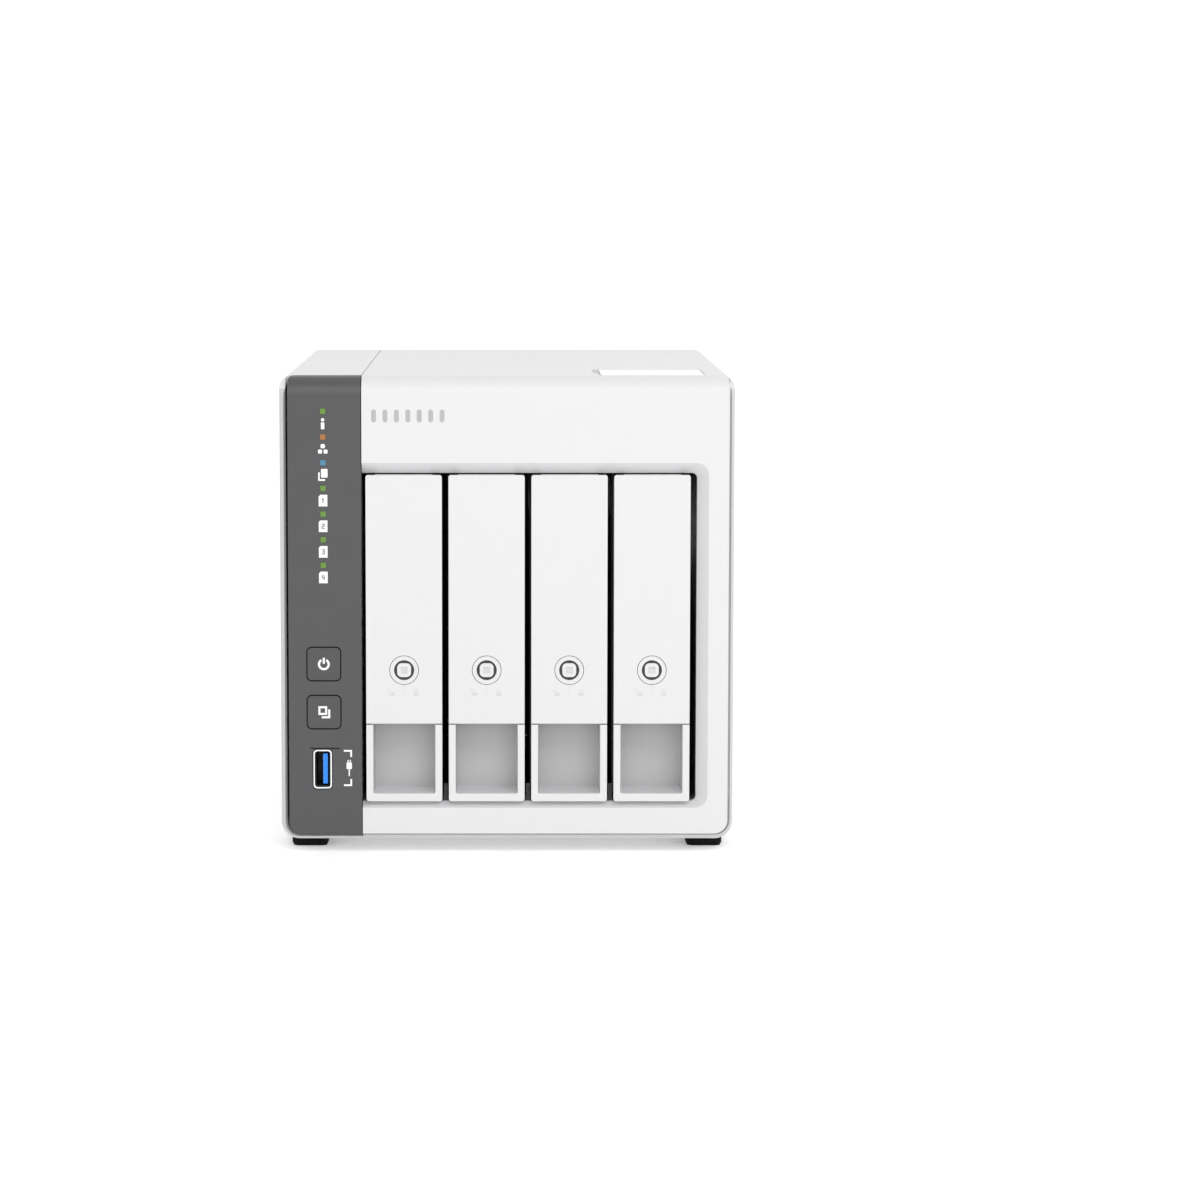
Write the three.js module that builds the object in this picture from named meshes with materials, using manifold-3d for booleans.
// A desktop network storage enclosure with four upright hot-swap drive trays.
// Millimetres, +X right, +Z up, front towards -Y. The origin is the centre of the footprint, at floor level.

import * as THREE from 'three';
import { mergeVertices } from 'three/addons/utils/BufferGeometryUtils.js';
import Module from 'manifold-3d';

const wasm = await Module();
wasm.setup();

// ---------------------------------------------------------------- driving dimensions

const WIDTH = 160;
const DEPTH = 219;
const HEIGHT = 169;
const FOOT_HEIGHT = 4.7;
const WALL = 2.2; // moulded covers
const SHEET = 1.2; // pressed steel of the drive cage
const BOARD = 1.6; // circuit boards
const GAP = 0.3; // between pieces that meet
const CORNER_R = 7; // lower long edges of the case
const SHOULDER_R = 4.5; // upper long edges
const BROW_R = 8; // rounding from the front face into the top

const LEFT = -WIDTH / 2;
const RIGHT = WIDTH / 2;
const FRONT = -DEPTH / 2;
const BACK = DEPTH / 2;
const BASE = FOOT_HEIGHT;
const FAR = 400; // longer than the object, for cutting tools

// Control strip on the left of the front
const STRIP_LEFT = -77;
const SEAM_X = -51.2; // between the strip's side and the bay's side, on the front, top and bottom
const STRIP_RIGHT = SEAM_X - GAP / 2;
const BAY_SIDE = SEAM_X + GAP / 2;
const LIGHT_X = -64.6;
const LIGHT_TOP = 156.7;
const LIGHT_PITCH = 9.04;
const LIGHT_COUNT = 7;
const LIGHT_SIZE = 2;
const BUTTON_SIZE = 11.5;
const BUTTON_GAP = 0.6;
const POWER_Z = 67.5;
const COPY_Z = 50.4;
const BUTTON_TRAVEL = 1;

// Bay opening in the front face, with a sloped band round it
const BAY = { left: BAY_SIDE - 10, right: 66.9, bottom: 18.2, top: 134.85, r: 2 };
const BAND = { left: BAY_SIDE - 10, right: 71, bottom: 16.2, top: 138.6, r: 4.5 };
const BAND_DEPTH = 3;
const COLLAR_BACK = FRONT + 6;

// Drive trays
const TRAY_COUNT = 4;
const TRAY_PITCH = 29.13;
const TRAY_FIRST = -36.3;
const TRAY_W = 26.75;
const TRAY_BOTTOM = 18.57;
const TRAY_TOP = 134.33;
const HANDLE_BOTTOM = 46.3;
const HANDLE_THICK = 4;
const LOCK_Z = 65.3;
const LOCK_R = 5.1;
const PIVOT = { y: FRONT + 2.2, z: TRAY_TOP - 2.83, r: 0.75 };
const BEZEL_BACK = FRONT + 15.5;
const RAIL_END = 50;
const DRIVE = { thick: 26.1, width: 101.6, length: 147 }; // a 3.5 inch drive, standing on its edge

// Inside
const CAGE = { left: -52.4, right: 68.3, front: COLLAR_BACK + GAP, back: 62, bottom: 16.6, top: 136.4 };
const BACKPLANE_Y = 58.5;
const MAIN_BOARD_X = -57.6; // the face that carries the parts
const PANEL_Y = 105.8; // inner face of the rear panel
const PANEL_THICK = 1;
const FAN = { x: 15, z: 77, size: 120, depth: 25, bore: 58, hub: 20 };
const FAN_BACK = PANEL_Y - GAP - 0.1;
const FAN_SCREW = 52.5;

const trayCentre = (i) => TRAY_FIRST + i * TRAY_PITCH;
const trays = [...Array(TRAY_COUNT).keys()];

// ---------------------------------------------------------------- solids

function solid(geometry) {
  const bare = geometry.clone();
  bare.deleteAttribute('normal');
  bare.deleteAttribute('uv');
  const merged = mergeVertices(bare, 1e-4);
  const mesh = new wasm.Mesh({
    numProp: 3,
    vertProperties: new Float32Array(merged.attributes.position.array),
    triVerts: new Uint32Array(merged.index.array),
  });
  mesh.merge();
  return new wasm.Manifold(mesh);
}

function geometryOf(manifold) {
  const mesh = manifold.getMesh();
  const geometry = new THREE.BufferGeometry();
  geometry.setAttribute('position', new THREE.BufferAttribute(mesh.vertProperties, mesh.numProp));
  geometry.setIndex(new THREE.BufferAttribute(mesh.triVerts, 1));
  const faceted = geometry.toNonIndexed();
  faceted.computeVertexNormals();
  return faceted;
}

const join = (pieces) => pieces.reduce((all, piece) => all.add(piece));
const cut = (body, tools) => tools.reduce((all, tool) => all.subtract(tool), body);

function box(x0, x1, y0, y1, z0, z1) {
  const geometry = new THREE.BoxGeometry(x1 - x0, y1 - y0, z1 - z0);
  geometry.translate((x0 + x1) / 2, (y0 + y1) / 2, (z0 + z1) / 2);
  return solid(geometry);
}

// Directions for an outline drawn in the plane across an axis, and its depth along that axis
const ALONG = {
  x: new THREE.Matrix4().makeBasis(
    new THREE.Vector3(0, 1, 0), new THREE.Vector3(0, 0, 1), new THREE.Vector3(1, 0, 0)),
  y: new THREE.Matrix4().makeBasis(
    new THREE.Vector3(1, 0, 0), new THREE.Vector3(0, 0, 1), new THREE.Vector3(0, -1, 0)),
  z: new THREE.Matrix4(),
};

// Extrudes an outline from low to high along an axis. Along y the outline is drawn in x and z.
// Each round stretch of the outline, a corner or a whole circle, gets twice curveSegments sides.
function prism(outline, axis, low, high, curveSegments = 2) {
  const geometry = new THREE.ExtrudeGeometry(outline, {
    depth: high - low, bevelEnabled: false, steps: 1, curveSegments,
  });
  geometry.applyMatrix4(ALONG[axis]);
  const start = axis === 'y' ? high : low;
  geometry.translate(axis === 'x' ? start : 0, axis === 'y' ? start : 0, axis === 'z' ? start : 0);
  return solid(geometry);
}

// A rectangle whose corners are rounded, from lower left anticlockwise: radii [ll, lr, ur, ul], or one radius
function rounded(u0, u1, v0, v1, radii) {
  const [ll, lr, ur, ul] = Array.isArray(radii) ? radii : [radii, radii, radii, radii];
  const shape = new THREE.Shape();
  const corner = (u, v, r, from) => {
    if (r > 0) shape.absarc(u, v, r, from, from + Math.PI / 2, false);
  };
  shape.moveTo(u0 + ll, v0);
  shape.lineTo(u1 - lr, v0);
  corner(u1 - lr, v0 + lr, lr, -Math.PI / 2);
  shape.lineTo(u1, v1 - ur);
  corner(u1 - ur, v1 - ur, ur, 0);
  shape.lineTo(u0 + ul, v1);
  corner(u0 + ul, v1 - ul, ul, Math.PI / 2);
  shape.lineTo(u0, v0 + ll);
  corner(u0 + ll, v0 + ll, ll, Math.PI);
  return shape;
}

function circle(u, v, r) {
  const shape = new THREE.Shape();
  shape.absarc(u, v, r, 0, 2 * Math.PI, false);
  return shape;
}

const polygon = (points) => new THREE.Shape(points.map(([u, v]) => new THREE.Vector2(u, v)));

const rod = (axis, u, v, r, low, high, sides) => prism(circle(u, v, r), axis, low, high, sides / 2);

const slab = (u0, u1, v0, v1, r, axis, low, high) => prism(rounded(u0, u1, v0, v1, r), axis, low, high);

// Joins two convex outlines of equally many points, drawn in x and z, at two places along y
function loft(near, yNear, far, yFar, segments = 2) {
  const a = near.extractPoints(segments).shape.slice(0, -1);
  const b = far.extractPoints(segments).shape.slice(0, -1);
  const n = a.length;
  const position = [];
  a.forEach((p) => position.push(p.x, yNear, p.y));
  b.forEach((p) => position.push(p.x, yFar, p.y));
  const index = [];
  for (let i = 0; i < n; i += 1) {
    const j = (i + 1) % n;
    index.push(i, j, n + j, i, n + j, n + i);
  }
  for (let i = 1; i < n - 1; i += 1) {
    index.push(0, i + 1, i);
    index.push(n, n + i, n + i + 1);
  }
  for (let i = 0; i < index.length; i += 3) [index[i + 1], index[i + 2]] = [index[i + 2], index[i + 1]];
  const geometry = new THREE.BufferGeometry();
  geometry.setAttribute('position', new THREE.Float32BufferAttribute(position, 3));
  geometry.setIndex(index);
  return solid(geometry);
}

// ---------------------------------------------------------------- materials

const finish = (color, roughness, metalness = 0) => ({ color, roughness, metalness });
const WHITE = finish(0xf2f2f2, 0.5);
const CHARCOAL = finish(0x626264, 0.55);
const DARK = finish(0x33343a, 0.6);
const BLACK = finish(0x16171a, 0.6);
const RUBBER = finish(0x0e0e10, 0.9);
const STEEL = finish(0xb9bcc0, 0.35, 0.9);
const BRIGHT = finish(0xd8dade, 0.25, 1);
const ALUMINIUM = finish(0xa9adb2, 0.4, 0.9);
const GREEN_BOARD = finish(0x1f5a34, 0.5);
const BLUE = finish(0x2e86e8, 0.4);
const GREEN_LIGHT = finish(0x70983c, 0.4);
const BADGE = finish(0xf8f8f8, 0.25);

const enclosure = new THREE.Group();

function add(name, manifold, look) {
  const mesh = new THREE.Mesh(geometryOf(manifold), new THREE.MeshStandardMaterial(look));
  mesh.name = name;
  enclosure.add(mesh);
}

// ---------------------------------------------------------------- case

// The case's section across y, smaller all round by an inset
function caseSection(inset) {
  const low = CORNER_R - inset;
  const high = SHOULDER_R - inset;
  return rounded(LEFT + inset, RIGHT - inset, BASE + inset, HEIGHT - inset, [low, low, high, high]);
}

// The whole outside shape: the section along y, under a side profile with its brow and bottom edge rounded
function outside(front) {
  const section = prism(caseSection(0), 'y', front, BACK, 3);
  const profile = prism(rounded(front, BACK, BASE, HEIGHT, [1.9, 0, 0, BROW_R]), 'x', LEFT, RIGHT, 3);
  return section.intersect(profile);
}

function inside() {
  const section = prism(caseSection(WALL), 'y', FRONT, FAR, 3);
  const profile = prism(
    rounded(FRONT + WALL, FAR, BASE + WALL, HEIGHT - WALL, [0, 0, 0, BROW_R - WALL]), 'x', LEFT, RIGHT, 3);
  return section.intersect(profile);
}

const OUTSIDE = outside(FRONT);
const COVER_LIP = 2; // how far the side covers' front edges stand behind the face
const COVERS_OUTSIDE = outside(FRONT + COVER_LIP);
const INSIDE = inside();
const BROW_Y = FRONT + BROW_R; // where the flat top begins
const RIM = 1.4; // edge of the right cover seen beside the front face
const FACE_RIGHT = RIGHT - RIM - 2 * GAP;
const FACE_BOTTOM = BASE + RIM + 0.57 + GAP;
const TOP_SEAM_Z = HEIGHT - WALL; // underside of the main cover's top, where it meets the right cover
const TOP_RETURN_X = FACE_RIGHT - 1.5;

function leftCover() {
  const half = COVERS_OUTSIDE.intersect(box(-FAR, STRIP_RIGHT, -FAR, FAR, -FAR, FAR));
  const stripPocket = prism(
    rounded(LEFT + WALL, 0, BASE + 1.6, FAR, [4.6, 0, 0, 0]), 'y', -FAR, BROW_Y + GAP);
  return cut(half, [INSIDE, stripPocket]);
}

function bayShape(edge) {
  return rounded(edge.left, edge.right, edge.bottom, edge.top, [0, edge.r, edge.r, 0]);
}

const BADGE_POCKET = { left: 30.5, right: 70, front: -101, back: -60, depth: 1.1 };

function mainCover() {
  const faceZone = prism(
    rounded(BAY_SIDE, FACE_RIGHT, FACE_BOTTOM, FAR, [0, 4.7, 0, 0]), 'y', -FAR, FAR);
  const shell = cut(OUTSIDE.intersect(faceZone), [
    INSIDE,
    box(TOP_RETURN_X, FAR, FRONT + WALL, FAR, -FAR, TOP_SEAM_Z),
    box(-FAR, FAR, FRONT + WALL, FAR, -FAR, BAY.bottom),
  ]);
  const collar = box(BAY_SIDE, BAND.right + 2, FRONT, COLLAR_BACK, BAND.bottom - 2, BAND.top + 2);
  const opening = prism(bayShape(BAY), 'y', -FAR, FAR);
  const band = loft(bayShape(BAND), FRONT - 0.01, bayShape(BAY), FRONT + BAND_DEPTH);
  const pocket = BADGE_POCKET;
  const badgeSeat = slab(
    pocket.left, pocket.right, pocket.front, pocket.back, 1.5, 'z', HEIGHT - pocket.depth, FAR);
  const body = cut(join([shell, collar]), [opening, band, badgeSeat]);
  const noses = trays.slice(1).map((i) => {
    const x = trayCentre(i) - TRAY_PITCH / 2;
    return box(x - 0.6, x + 0.6, FRONT + 4.8, COLLAR_BACK, BAY.bottom - 0.5, BAY.bottom + 6);
  });
  return join([body, ...noses]);
}

function rightCover() {
  const half = COVERS_OUTSIDE.intersect(box(BAY_SIDE, FAR, -FAR, FAR, -FAR, FAR));
  const faceZone = prism(
    rounded(-FAR, FACE_RIGHT + 2 * GAP, FACE_BOTTOM - GAP, FAR, [0, 5, 0, 0]), 'y', -FAR, FRONT + WALL);
  return cut(half, [
    INSIDE,
    faceZone,
    box(-FAR, FACE_RIGHT + 2 * GAP, -FAR, FAR, TOP_SEAM_Z - GAP, FAR),
    box(-FAR, TOP_RETURN_X + GAP, -FAR, FAR, HEIGHT / 2, FAR),
  ]);
}

function topBadge() {
  const pocket = BADGE_POCKET;
  return slab(
    pocket.left + 2.8, pocket.right - GAP, pocket.front + GAP, pocket.back - GAP, 1.2,
    'z', HEIGHT - pocket.depth + GAP, HEIGHT - 0.1);
}

// ---------------------------------------------------------------- control strip

const USB = { x: -65.2, z: 30, w: 6.6, h: 13.9, back: FRONT + 15.5 };

const lightZ = (i) => LIGHT_TOP - i * LIGHT_PITCH;

function squareAt(x, z, size, r, low, high) {
  return slab(x - size / 2, x + size / 2, z - size / 2, z + size / 2, r, 'y', low, high);
}

function controlPanel() {
  const zone = prism(
    rounded(STRIP_LEFT, STRIP_RIGHT, BASE + WALL, HEIGHT, [4, 0, 0, 2]), 'y', -FAR, BROW_Y);
  const lights = [...Array(LIGHT_COUNT).keys()].map((i) =>
    squareAt(LIGHT_X, lightZ(i), LIGHT_SIZE + 0.5, 0, -FAR, FAR));
  const buttons = [POWER_Z, COPY_Z].map((z) =>
    squareAt(LIGHT_X, z, BUTTON_SIZE + 2 * BUTTON_GAP, 2.1, -FAR, FAR));
  const socket = box(
    USB.x - USB.w / 2 - GAP, USB.x + USB.w / 2 + GAP, -FAR, FAR, USB.z - USB.h / 2 - GAP, USB.z + USB.h / 2 + GAP);
  return cut(OUTSIDE.intersect(zone), [INSIDE, ...lights, ...buttons, socket]);
}

const PANEL_BOARD_Y = FRONT + 5.5;

function pushButton(z) {
  const cap = squareAt(LIGHT_X, z, BUTTON_SIZE, 1.5, FRONT, FRONT + WALL + GAP + 0.5);
  const flange = squareAt(LIGHT_X, z, BUTTON_SIZE + 3, 1.5, FRONT + WALL + GAP, FRONT + WALL + GAP + 0.8);
  const stem = squareAt(LIGHT_X, z, 4, 0, FRONT + WALL, PANEL_BOARD_Y - BUTTON_TRAVEL - GAP);
  return join([cap, flange, stem]);
}

// One clear moulding: a prong for each light, on a bar behind the strip
function lightPipe() {
  const prongs = [...Array(LIGHT_COUNT).keys()].map((i) =>
    squareAt(LIGHT_X, lightZ(i), LIGHT_SIZE, 0, FRONT, PANEL_BOARD_Y - GAP));
  const bar = box(
    LIGHT_X - 2, LIGHT_X + 2, FRONT + WALL + GAP, FRONT + WALL + GAP + 1.2,
    lightZ(LIGHT_COUNT - 1) - 2, lightZ(0) + 2);
  return join([...prongs, bar]);
}

function frontUsbSocket() {
  const wall = 0.7;
  const { x, z, w, h, back } = USB;
  const shell = slab(x - w / 2, x + w / 2, z - h / 2, z + h / 2, 0.8, 'y', FRONT + 0.2, back);
  const hollow = slab(
    x - w / 2 + wall, x + w / 2 - wall, z - h / 2 + wall, z + h / 2 - wall, 0.4, 'y', -FAR, back - 1);
  return cut(shell, [hollow]);
}

function frontUsbTongue() {
  return box(USB.x + 0.1, USB.x + 1.8, FRONT + 1.7, USB.back - 1 - GAP, USB.z - 5.4, USB.z + 5.4);
}

function panelBoard() {
  const board = box(-76, -53.5, PANEL_BOARD_Y, PANEL_BOARD_Y + BOARD, 12, 160);
  const socket = box(
    USB.x - USB.w / 2 - GAP, USB.x + USB.w / 2 + GAP, -FAR, FAR, USB.z - USB.h / 2 - GAP, USB.z + USB.h / 2 + GAP);
  return cut(board, [socket]);
}

// ---------------------------------------------------------------- drive cage

const DRIVE_BOTTOM = 25.2;
const RAIL_LOW = 19.3; // underside of a tray's lower rail
const RAIL_HIGH = 133.7; // top of its upper rail
const RAIL_THICK = 5.5;
const TONGUE_W = 6;
const TONGUE_H = 2.4;
const GUIDE_THICK = 0.8;

const cagePlate = (z) => box(CAGE.left, CAGE.right, CAGE.front, CAGE.back, z, z + SHEET);

const STANDOFFS = [[-48, 26], [-48, 126], [50, 26], [50, 126]];

function cageSide(x) {
  return box(
    x, x + SHEET - 0.1, CAGE.front, CAGE.back, CAGE.bottom + SHEET + GAP, CAGE.top - SHEET - GAP);
}

function cageLeftWall() {
  const bosses = STANDOFFS.map(([y, z]) =>
    rod('x', y, z, 3, MAIN_BOARD_X + BOARD + GAP, CAGE.left + 0.5, 12));
  const holes = STANDOFFS.map(([y, z]) => rod('x', y, z, 1.6, -FAR, CAGE.left - 0.4, 8));
  return cut(join([cageSide(CAGE.left), ...bosses]), holes);
}

// A guide plate with one tongue for each tray; the tongues stand up from z0, or hang down if up is -1
function guideRails(z0, up) {
  const span = (a, b) => [Math.min(a, b), Math.max(a, b)];
  const base = box(CAGE.left + 1.7, CAGE.right - 1.7, BEZEL_BACK + 3, RAIL_END + 2, ...span(z0, z0 + up * GUIDE_THICK));
  const tongues = trays.map((i) => {
    const x = trayCentre(i);
    const reach = z0 + up * (GUIDE_THICK + TONGUE_H);
    return box(x - TONGUE_W / 2, x + TONGUE_W / 2, BEZEL_BACK + 3, RAIL_END + 2, ...span(z0, reach));
  });
  return join([base, ...tongues]);
}

// The backplane carries one drive connector for each tray, with an air slot over it
function backplane() {
  const board = box(
    CAGE.left + 1.7, CAGE.right - 1.7, BACKPLANE_Y, BACKPLANE_Y + BOARD, TRAY_BOTTOM, TRAY_TOP - 0.4);
  const vents = trays.map((i) => {
    const x = trayCentre(i);
    return slab(x - 7, x + 7, 82, 126, 3, 'y', -FAR, FAR);
  });
  const front = BEZEL_BACK + 2 + DRIVE.length + GAP;
  const connectors = trays.map((i) => {
    const x = trayCentre(i);
    const body = box(x - 2.8, x + 2.8, front, BACKPLANE_Y + 0.5, 32, 75);
    return cut(body, [box(x - 0.8, x + 0.8, -FAR, front + 2, 33.5, 73.5)]);
  });
  return join([cut(board, vents), ...connectors]);
}

// ---------------------------------------------------------------- one drive tray

function trayCarrier(x) {
  const web = { left: x - DRIVE.thick / 2 - 0.85, right: x - DRIVE.thick / 2 - 0.15 };
  const front = BEZEL_BACK + GAP;
  const plate = box(web.left, x + 13.1, front, front + 1.5, RAIL_LOW, RAIL_HIGH);
  const lower = box(web.left, x + 12.5, front, RAIL_END, RAIL_LOW, RAIL_LOW + RAIL_THICK);
  const upper = box(web.left, x + 12.5, front, RAIL_END, RAIL_HIGH - RAIL_THICK, RAIL_HIGH);
  const side = box(web.left, web.right, front, RAIL_END, RAIL_LOW, RAIL_HIGH);
  const groove = TONGUE_W / 2 + 0.4;
  const windowLength = 38;
  const windows = [0, 1, 2].map((n) => {
    const y = front + 12 + n * (windowLength + 8);
    return slab(y, y + windowLength, 36, 117, 4, 'x', web.left - 1, web.right + 1);
  });
  return cut(join([plate, lower, upper, side]), [
    box(x - groove, x + groove, front + 2, FAR, -FAR, RAIL_LOW + TONGUE_H),
    box(x - groove, x + groove, front + 2, FAR, RAIL_HIGH - TONGUE_H, FAR),
    ...windows,
  ]);
}

const RECESS = { side: 2.4, rail: 3.1, depth: 11, top: 76 };
const EAR = { inner: 10.3, outer: 12.9, r: 1.4 };
const EAR_ROOT = FRONT + 6.1;
const BEZEL_TOP = TRAY_TOP - 1.6; // below the top of the handle, which hides it

function trayBezel(x) {
  const half = TRAY_W / 2;
  const seat = FRONT + HANDLE_THICK + 0.4;
  const frame = box(x - half, x + half, FRONT, BEZEL_BACK, TRAY_BOTTOM, HANDLE_BOTTOM - 0.55);
  const upright = box(x - half, x + half, seat, BEZEL_BACK, TRAY_BOTTOM, BEZEL_TOP);
  const recess = box(
    x - half + RECESS.side, x + half - RECESS.side, -FAR, FRONT + RECESS.depth, TRAY_BOTTOM + RECESS.rail, RECESS.top);
  const hingeRoom = box(-FAR, FAR, -FAR, EAR_ROOT, PIVOT.z - 2.2, FAR);
  const lightening = box(x - half + 2, x + half - 2, FRONT + 9, FAR, RECESS.top + 3, PIVOT.z - 4);
  const body = cut(join([frame, upright]), [recess, hingeRoom, lightening]);
  const ears = [-1, 1].map((side) => {
    const [low, high] = [x + side * EAR.inner, x + side * EAR.outer].sort((a, b) => a - b);
    const arm = box(low, high, PIVOT.y, EAR_ROOT + 0.5, PIVOT.z - EAR.r, PIVOT.z + EAR.r);
    const eye = rod('x', PIVOT.y, PIVOT.z, EAR.r, low, high, 10);
    return cut(join([arm, eye]), [rod('x', PIVOT.y, PIVOT.z, PIVOT.r + 0.25, -FAR, FAR, 10)]);
  });
  return join([body, ...ears]);
}

function trayHandle(x) {
  const half = TRAY_W / 2;
  const back = FRONT + HANDLE_THICK;
  const profile = rounded(FRONT, back, HANDLE_BOTTOM, TRAY_TOP, [0, 0, 0, 1.5]);
  const plate = prism(profile, 'x', x - half, x + half);
  const lockHole = rod('y', x, LOCK_Z, LOCK_R + 0.25, -FAR, FAR, 20);
  const notches = [-1, 1].map((side) => {
    const [low, high] = [x + side * (EAR.inner - GAP), x + side * FAR].sort((a, b) => a - b);
    const clear = EAR.r + 0.25;
    return box(low, high, PIVOT.y - clear, FAR, PIVOT.z - clear, FAR);
  });
  const pin = rod('x', PIVOT.y, PIVOT.z, PIVOT.r, x - EAR.outer + GAP, x + EAR.outer - GAP, 10);
  return join([cut(plate, [lockHole, ...notches]), pin]);
}

const KEYWAY_R = 3.5;
const POST = 4.7;

function trayLock(x) {
  const back = FRONT + HANDLE_THICK + 0.2;
  const barrel = rod('y', x, LOCK_Z, LOCK_R, FRONT, back, 20);
  const keyway = rod('y', x, LOCK_Z, KEYWAY_R, -FAR, FRONT + 1.4, 16);
  const post = squareAt(x, LOCK_Z, POST, 1.5, FRONT + 0.1, FRONT + 2);
  const dimple = squareAt(x, LOCK_Z, 2.2, 0, -FAR, FRONT + 0.6);
  const stem = rod('y', x, LOCK_Z, 2, back - 0.5, back + 1.6, 10);
  const tongue = box(x - 1.6, x + 1.6, back + 0.4, back + 1.6, LOCK_Z - 8.4, LOCK_Z);
  return cut(join([cut(barrel, [keyway]), post, stem, tongue]), [dimple]);
}

// ---------------------------------------------------------------- main board and sockets

const SOCKET_X = MAIN_BOARD_X - GAP; // where the parts stand on the board, growing towards -X
const SOCKET_BACK = PANEL_Y + PANEL_THICK + 0.8;
const NETWORK_Z = [60, 82];
const REAR_USB_Z = [104, 120];
const JACK_Z = 141;
const RESET_Z = 43;
const FAN_HEADER_X = MAIN_BOARD_X + BOARD + 3;
const NETWORK = { w: 16, h: 13.5 };
const REAR_USB = { w: 14.5, h: 7 };
const JACK = { w: 10, h: 10 };

const onBoard = (h, z, w, front, back) => box(SOCKET_X - h, SOCKET_X, front, back, z - w / 2, z + w / 2);

// Parts soldered to the board: [height, z, width, front, back]
const PACKAGES = [
  [2, 78, 26, 6, 32], // processor, under the heat sink
  [1.2, 66, 14, -32, -22], // memory
  [1.2, 84, 14, -32, -22],
  [1.2, 46, 12, 20, 34], // network controller
  [1.2, 30, 9, -6, 6], // storage controller
  [5, 136, 12, 10, 24], // power coils
  [5, 136, 12, 30, 44],
  [4, RESET_Z, 4, PANEL_Y - 8, PANEL_Y - 2.6], // body of the reset switch
];

function mainBoard() {
  const board = box(MAIN_BOARD_X, MAIN_BOARD_X + BOARD, -58, PANEL_Y - 1.3, 12, 152);
  const holes = STANDOFFS.map(([y, z]) => rod('x', y, z, 1.6, -FAR, FAR, 8));
  const packages = PACKAGES.map(([h, z, w, front, back]) =>
    box(MAIN_BOARD_X - h, MAIN_BOARD_X + 0.5, front, back, z - w / 2, z + w / 2));
  const fanHeader = box(MAIN_BOARD_X + BOARD - 0.5, FAN_HEADER_X, 70, 76, 30, 38);
  return join([cut(board, holes), ...packages, fanHeader]);
}

function networkSocket(z) {
  const body = onBoard(NETWORK.h, z, NETWORK.w, SOCKET_BACK - 21, SOCKET_BACK);
  const middle = SOCKET_X - NETWORK.h / 2;
  const port = box(middle - 3.6, middle + 4.6, SOCKET_BACK - 12, FAR, z - 5.9, z + 5.9);
  const latchway = box(middle - 5.6, middle, SOCKET_BACK - 12, FAR, z - 3, z + 3);
  return cut(body, [port, latchway]);
}

function rearUsbSocket(z) {
  const body = onBoard(REAR_USB.h, z, REAR_USB.w, SOCKET_BACK - 14, SOCKET_BACK);
  const wall = 0.7;
  const hollow = box(
    SOCKET_X - REAR_USB.h + wall, SOCKET_X - wall, SOCKET_BACK - 12, FAR, z - REAR_USB.w / 2 + wall, z + REAR_USB.w / 2 - wall);
  const tongue = box(SOCKET_X - 3.4, SOCKET_X - 1.6, SOCKET_BACK - 12.5, SOCKET_BACK - 1.5, z - 5.5, z + 5.5);
  return join([cut(body, [hollow]), tongue]);
}

function powerJack() {
  const middle = SOCKET_X - JACK.h / 2;
  const body = onBoard(JACK.h, JACK_Z, JACK.w, SOCKET_BACK - 13, SOCKET_BACK);
  const mouth = rod('y', middle, JACK_Z, 3.3, SOCKET_BACK - 10, FAR, 14);
  const pin = rod('y', middle, JACK_Z, 1.1, SOCKET_BACK - 10.5, SOCKET_BACK - 1, 8);
  return join([cut(body, [mouth]), pin]);
}

const RESET_X = SOCKET_X - 2.6;

function resetButton() {
  return rod('y', RESET_X, RESET_Z, 0.9, PANEL_Y - 1.7, PANEL_Y + 0.6, 10);
}

function heatSink() {
  const base = SOCKET_X - 2.3;
  const root = base - 2.5;
  const tip = base - 12;
  const fin = 1.3;
  const pitch = 4.6;
  const start = -4;
  const count = 11;
  const outline = [[base, start]]; // a comb: fins towards -X
  for (let i = 0; i < count; i += 1) {
    const y = start + i * pitch;
    outline.push([tip, y], [tip, y + fin]);
    if (i < count - 1) outline.push([root, y + fin], [root, y + pitch]);
  }
  outline.push([base, start + (count - 1) * pitch + fin]);
  return prism(polygon(outline), 'z', 54, 102);
}

const coinCell = () => rod('x', -30, 128, 10, SOCKET_X - 3.2, SOCKET_X, 24);

// ---------------------------------------------------------------- leads held inside

function panelRibbon() {
  const start = PANEL_BOARD_Y + BOARD + GAP;
  const end = -58 - GAP;
  const steps = 8;
  const half = 0.4;
  const route = [...Array(steps + 1).keys()].map((n) => {
    const t = n / steps;
    const ease = t * t * (3 - 2 * t);
    return [THREE.MathUtils.lerp(-63, MAIN_BOARD_X + BOARD / 2, ease), THREE.MathUtils.lerp(start, end, t)];
  });
  const left = route.map(([x, y]) => [x - half, y]);
  const right = route.map(([x, y]) => [x + half, y]);
  return prism(polygon([...right, ...left.reverse()]), 'z', 92, 104);
}

function fanLead() {
  const fanSide = FAN.x - FAN.size / 2 - GAP;
  const header = FAN_HEADER_X + GAP;
  const path = new THREE.CubicBezierCurve3(
    new THREE.Vector3(fanSide, 92, 34), new THREE.Vector3(fanSide - 4, 92, 34),
    new THREE.Vector3(header + 4, 73, 34), new THREE.Vector3(header, 73, 34));
  const section = circle(0, 0, 1.2);
  return solid(new THREE.ExtrudeGeometry(section, { steps: 8, extrudePath: path, curveSegments: 4 }));
}

// ---------------------------------------------------------------- fan

const fanCorners = [-1, 1].flatMap((sx) => [-1, 1].map((sz) => [FAN.x + sx * FAN_SCREW, FAN.z + sz * FAN_SCREW]));

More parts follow.
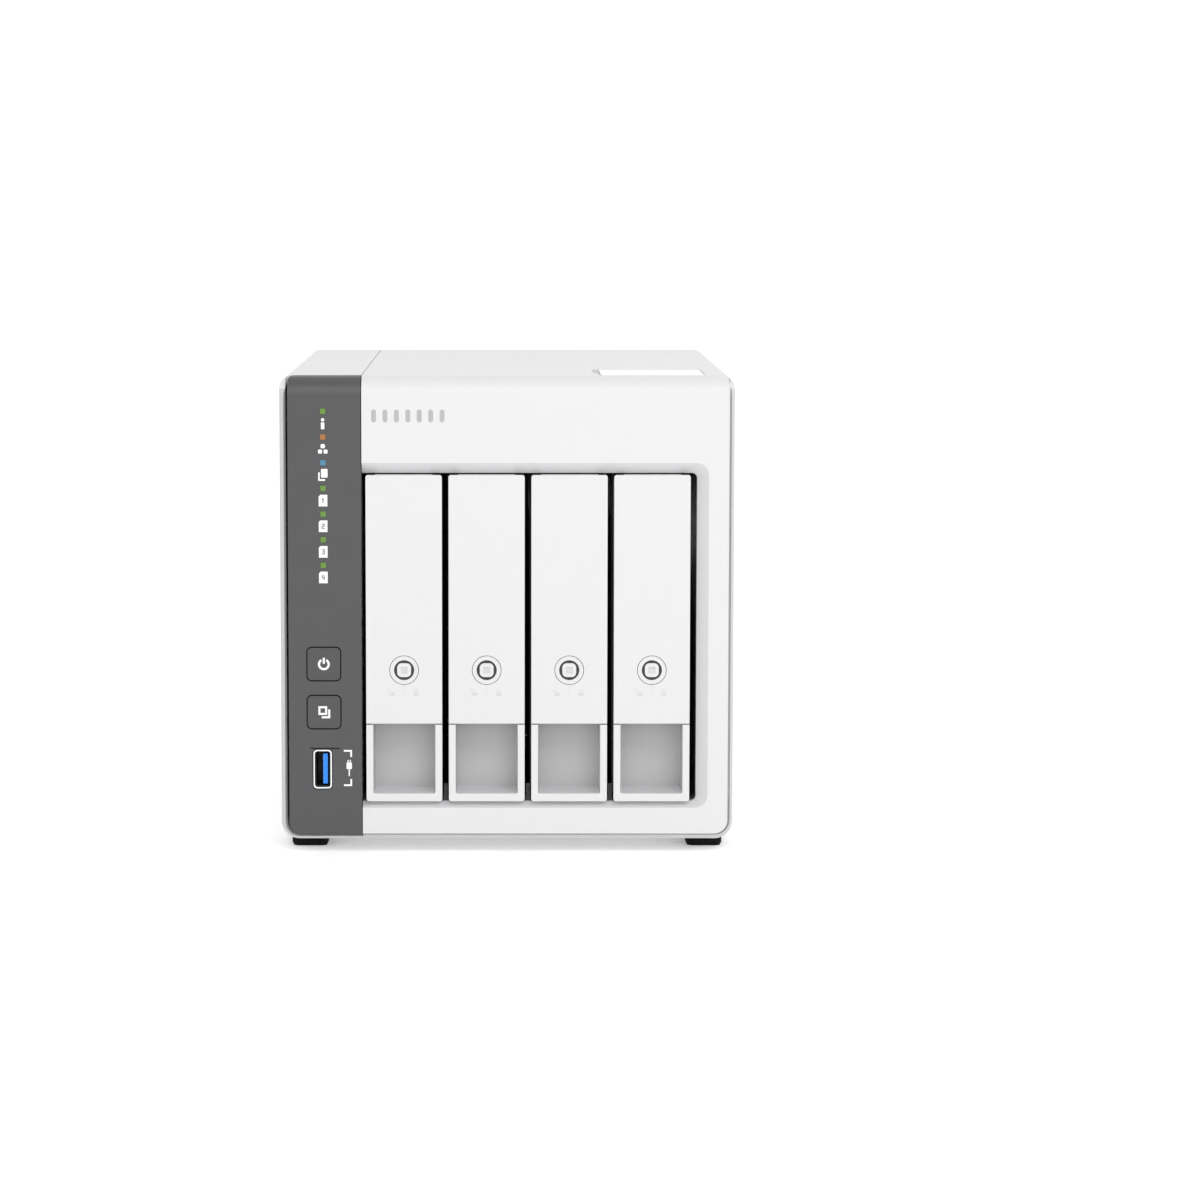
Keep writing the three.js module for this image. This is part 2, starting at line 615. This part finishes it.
function fanFrame() {
  const half = FAN.size / 2;
  const front = FAN_BACK - FAN.depth;
  const block = slab(
    FAN.x - half, FAN.x + half, FAN.z - half, FAN.z + half, 6, 'y', front, FAN_BACK);
  const bore = rod('y', FAN.x, FAN.z, FAN.bore, -FAR, FAR, 36);
  const holes = fanCorners.map(([x, z]) => rod('y', x, z, 2.2, -FAR, FAR, 8));
  const motor = rod('y', FAN.x, FAN.z, FAN.hub, FAN_BACK - 2.4, FAN_BACK - 0.2, 24);
  const strut = 2.5;
  const arms = [
    box(FAN.x - FAN.bore - 1, FAN.x + FAN.bore + 1, FAN_BACK - 2.4, FAN_BACK - 0.2, FAN.z - strut, FAN.z + strut),
    box(FAN.x - strut, FAN.x + strut, FAN_BACK - 2.4, FAN_BACK - 0.2, FAN.z - FAN.bore - 1, FAN.z + FAN.bore + 1),
  ];
  return join([cut(block, [bore, ...holes]), motor, ...arms]);
}

// One blade, twisted from root to tip: a four-sided section at each radius
function fanBlade(turn) {
  const stations = 4;
  const middle = FAN_BACK - 14;
  const position = [];
  for (let s = 0; s <= stations; s += 1) {
    const t = s / stations;
    const radius = THREE.MathUtils.lerp(FAN.hub - 2, FAN.bore - 2.5, t);
    const pitch = THREE.MathUtils.degToRad(THREE.MathUtils.lerp(48, 26, t));
    const chord = THREE.MathUtils.lerp(22, 38, t) / 2;
    const thick = THREE.MathUtils.lerp(1.3, 0.7, t);
    const sweep = turn + 0.25 * t;
    const corner = (along, across) => {
      const around = along * Math.cos(pitch) - across * Math.sin(pitch);
      const y = middle + along * Math.sin(pitch) + across * Math.cos(pitch);
      const angle = sweep + around / radius;
      position.push(FAN.x + radius * Math.cos(angle), y, FAN.z + radius * Math.sin(angle));
    };
    corner(-chord, -thick);
    corner(chord, -thick);
    corner(chord, thick);
    corner(-chord, thick);
  }
  const index = [0, 1, 2, 0, 2, 3];
  for (let s = 0; s < stations; s += 1) {
    for (let k = 0; k < 4; k += 1) {
      const a = s * 4 + k;
      const b = s * 4 + ((k + 1) % 4);
      index.push(a, a + 4, b + 4, a, b + 4, b);
    }
  }
  const last = stations * 4;
  index.push(last, last + 2, last + 1, last, last + 3, last + 2);
  const geometry = new THREE.BufferGeometry();
  geometry.setAttribute('position', new THREE.Float32BufferAttribute(position, 3));
  geometry.setIndex(index);
  return solid(geometry);
}

const BLADES = 7;

function fanRotor() {
  const hub = rod('y', FAN.x, FAN.z, FAN.hub, FAN_BACK - FAN.depth + 1, FAN_BACK - 3, 28);
  const blades = [...Array(BLADES).keys()].map((n) => fanBlade((n * 2 * Math.PI) / BLADES));
  return join([hub, ...blades]);
}

function rearScrew(x, z, shank) {
  const seat = PANEL_Y + PANEL_THICK + GAP;
  return join([rod('y', x, z, 3, seat, seat + 1.6, 12), rod('y', x, z, 1.8, PANEL_Y - shank, seat + 0.2, 8)]);
}

// ---------------------------------------------------------------- rear panel

const COVER_SCREWS = [-1, 1].flatMap((side) => [[side * 70, 12.2], [side * 70, 160]]);

const GRILLE = { inner: 14, rings: 6, slot: 4.4, pitch: 7.2, spoke: 2.2 };

function grilleSlots() {
  const slots = [];
  for (let ring = 0; ring < GRILLE.rings; ring += 1) {
    const r0 = GRILLE.inner + ring * GRILLE.pitch;
    const r1 = r0 + GRILLE.slot;
    for (let quarter = 0; quarter < 4; quarter += 1) {
      const centre = (quarter + 0.5) * (Math.PI / 2);
      const spread = Math.PI / 4 - GRILLE.spoke / (r0 + r1);
      const shape = new THREE.Shape();
      shape.absarc(FAN.x, FAN.z, r1, centre - spread, centre + spread, false);
      shape.absarc(FAN.x, FAN.z, r0, centre + spread, centre - spread, true);
      shape.closePath();
      slots.push(prism(shape, 'y', -FAR, FAR, 2 + Math.floor(ring / 2)));
    }
  }
  return slots;
}

function boardCutout({ w, h }, z) {
  return box(SOCKET_X - h - GAP, SOCKET_X + GAP, -FAR, FAR, z - w / 2 - GAP, z + w / 2 + GAP);
}

function rearPanel() {
  const sheet = prism(caseSection(WALL + GAP), 'y', PANEL_Y, PANEL_Y + PANEL_THICK);
  const screwHoles = [...fanCorners, ...COVER_SCREWS].map(([x, z]) => rod('y', x, z, 2.1, -FAR, FAR, 8));
  return cut(sheet, [
    ...grilleSlots(),
    ...NETWORK_Z.map((z) => boardCutout(NETWORK, z)),
    ...REAR_USB_Z.map((z) => boardCutout(REAR_USB, z)),
    boardCutout(JACK, JACK_Z),
    rod('y', RESET_X, RESET_Z, 1.3, -FAR, FAR, 10),
    slab(-68, -61, 25, 28, 1, 'y', -FAR, FAR),
    ...screwHoles,
  ]);
}

// ---------------------------------------------------------------- feet

const FOOT = { inner: 64.1, outer: 77, setback: 15.4, length: 22 };

function foot(side, end) {
  const [x0, x1] = [side * FOOT.inner, side * FOOT.outer].sort((a, b) => a - b);
  const reach = DEPTH / 2 - FOOT.setback;
  const [y0, y1] = [end * reach, end * (reach - FOOT.length)].sort((a, b) => a - b);
  const pad = slab(x0 + 0.4, x1 - 0.4, y0 + 0.4, y1 - 0.4, 2.5, 'z', 0, 0.8);
  const body = slab(x0, x1, y0, y1, 2.8, 'z', 0.8, FOOT_HEIGHT - GAP);
  return join([pad, body]);
}

// ---------------------------------------------------------------- the assembly

add('left_cover', leftCover(), WHITE);
add('main_cover', mainCover(), WHITE);
add('right_cover', rightCover(), WHITE);
add('top_badge', topBadge(), BADGE);
add('control_panel', controlPanel(), CHARCOAL);
add('power_button', pushButton(POWER_Z), CHARCOAL);
add('copy_button', pushButton(COPY_Z), CHARCOAL);
add('light_pipe', lightPipe(), GREEN_LIGHT);
add('front_usb_socket', frontUsbSocket(), BRIGHT);
add('front_usb_tongue', frontUsbTongue(), BLUE);
add('panel_board', panelBoard(), GREEN_BOARD);
add('panel_ribbon', panelRibbon(), BLACK);

add('cage_bottom', cagePlate(CAGE.bottom), STEEL);
add('cage_top', cagePlate(CAGE.top - SHEET), STEEL);
add('cage_left_wall', cageLeftWall(), STEEL);
add('cage_right_wall', cageSide(CAGE.right - SHEET + 0.1), STEEL);
add('guide_rails_lower', guideRails(CAGE.bottom + SHEET + GAP, 1), BLACK);
add('guide_rails_upper', guideRails(CAGE.top - SHEET - GAP, -1), BLACK);
add('backplane_board', backplane(), GREEN_BOARD);

for (const i of trays) {
  const x = trayCentre(i);
  const tray = `tray_${i + 1}`;
  add(`${tray}_carrier`, trayCarrier(x), DARK);
  add(`${tray}_bezel`, trayBezel(x), WHITE);
  add(`${tray}_handle`, trayHandle(x), WHITE);
  add(`${tray}_lock`, trayLock(x), WHITE);
}

add('main_board', mainBoard(), GREEN_BOARD);
add('heat_sink', heatSink(), ALUMINIUM);
add('coin_cell', coinCell(), BRIGHT);
NETWORK_Z.forEach((z, i) => add(`ethernet_socket_${i + 1}`, networkSocket(z), BRIGHT));
REAR_USB_Z.forEach((z, i) => add(`rear_usb_socket_${i + 1}`, rearUsbSocket(z), BRIGHT));
add('power_jack', powerJack(), BLACK);
add('reset_button', resetButton(), BLACK);

add('fan_frame', fanFrame(), BLACK);
add('fan_rotor', fanRotor(), BLACK);
add('fan_lead', fanLead(), BLACK);
fanCorners.forEach(([x, z], i) => add(`fan_screw_${i + 1}`, rearScrew(x, z, 10), STEEL));
add('rear_panel', rearPanel(), STEEL);
COVER_SCREWS.forEach(([x, z], i) => add(`cover_screw_${i + 1}`, rearScrew(x, z, 6), STEEL));

for (const [end, endName] of [[-1, 'front'], [1, 'rear']]) {
  for (const [side, sideName] of [[-1, 'left'], [1, 'right']]) {
    add(`foot_${endName}_${sideName}`, foot(side, end), RUBBER);
  }
}

export default enclosure;
